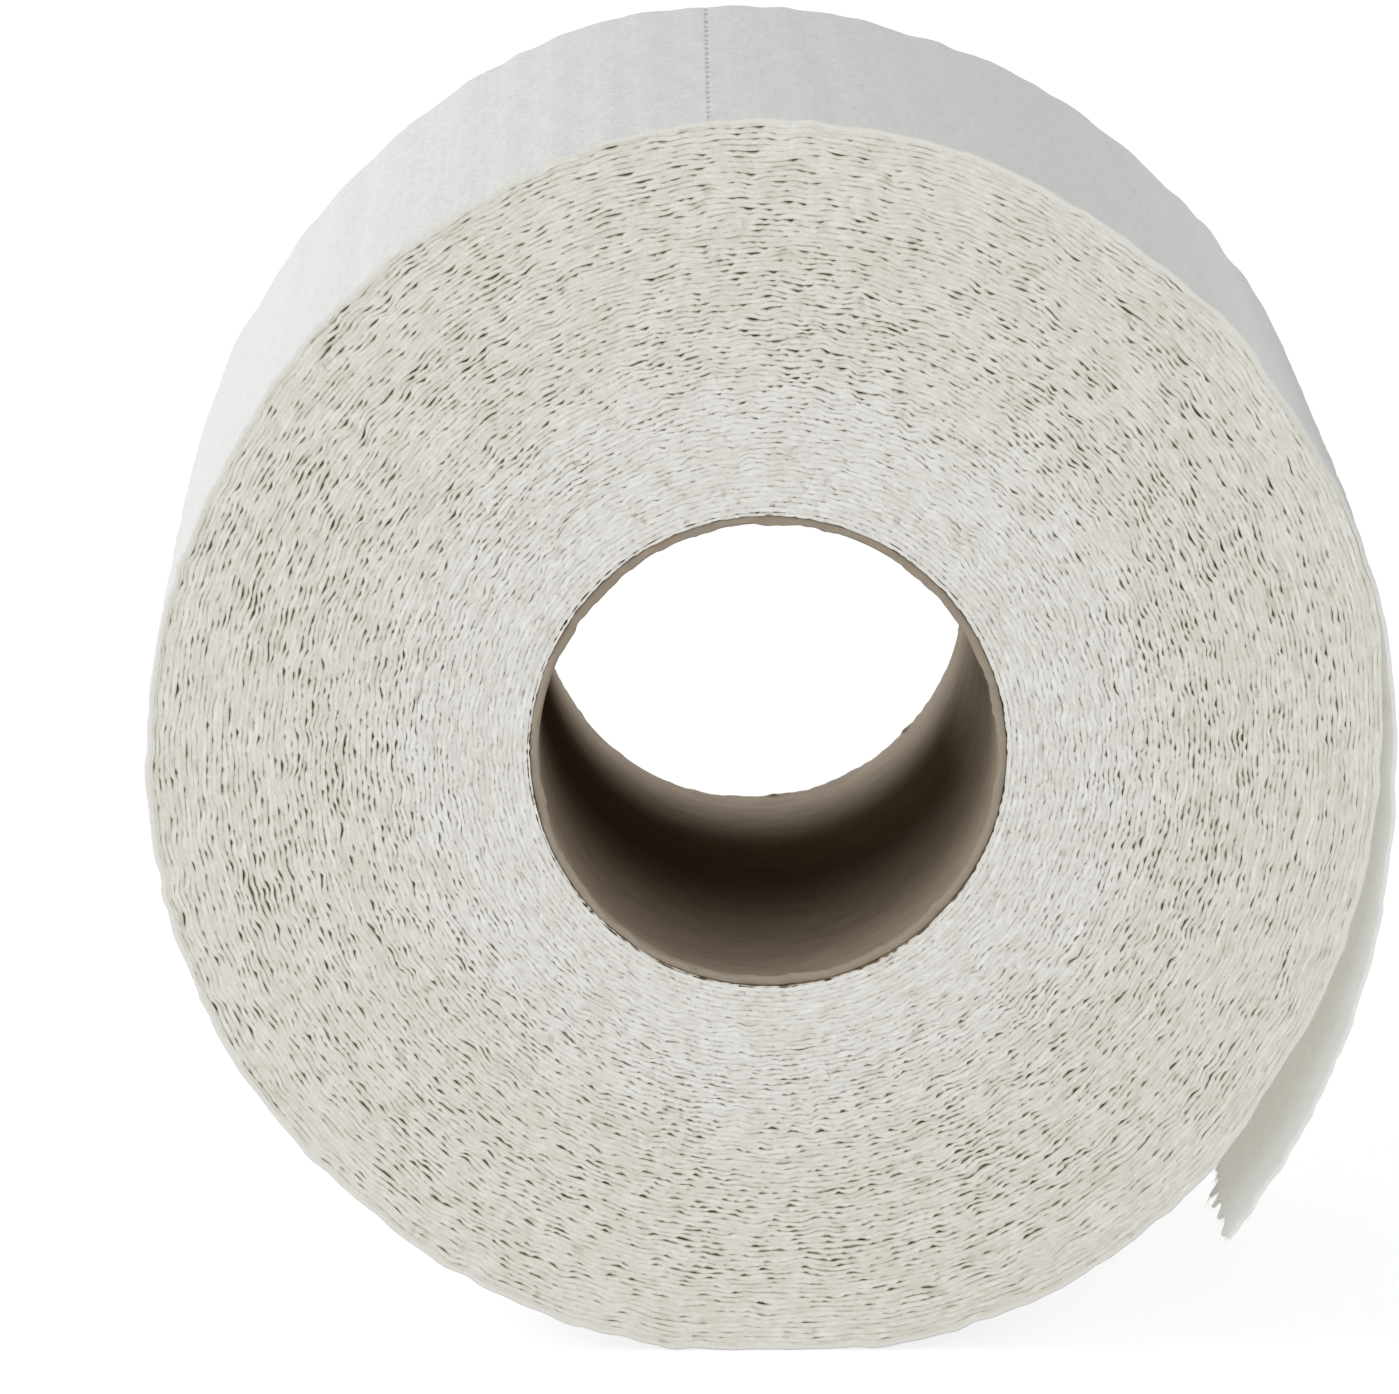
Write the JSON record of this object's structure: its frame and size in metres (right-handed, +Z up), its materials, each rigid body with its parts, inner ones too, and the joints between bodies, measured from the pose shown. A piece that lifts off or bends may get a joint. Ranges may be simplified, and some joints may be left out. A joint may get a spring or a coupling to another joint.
{
  "type": "toilet paper roll",
  "caption": "Soft white perforated tissue wound on a cardboard core tube, with a loose torn end, lying on a small flat spot.",
  "frame": {"origin": "centre of the core's bore, at the middle of the roll's width", "axes": "+Y along the core's axis from the near end to the far end, +Z up, +X towards the side where the loose end hangs"},
  "size_m": [0.112, 0.097, 0.1112],
  "materials": {
    "cardboard": "uncoated grey-brown board, matt, with fine fibres",
    "tissue": "soft matt tissue, lightly embossed"
  },
  "bodies": {
    "root": {"core_tube": "cardboard", "paper_web": "tissue"}
  },
  "joints": []
}
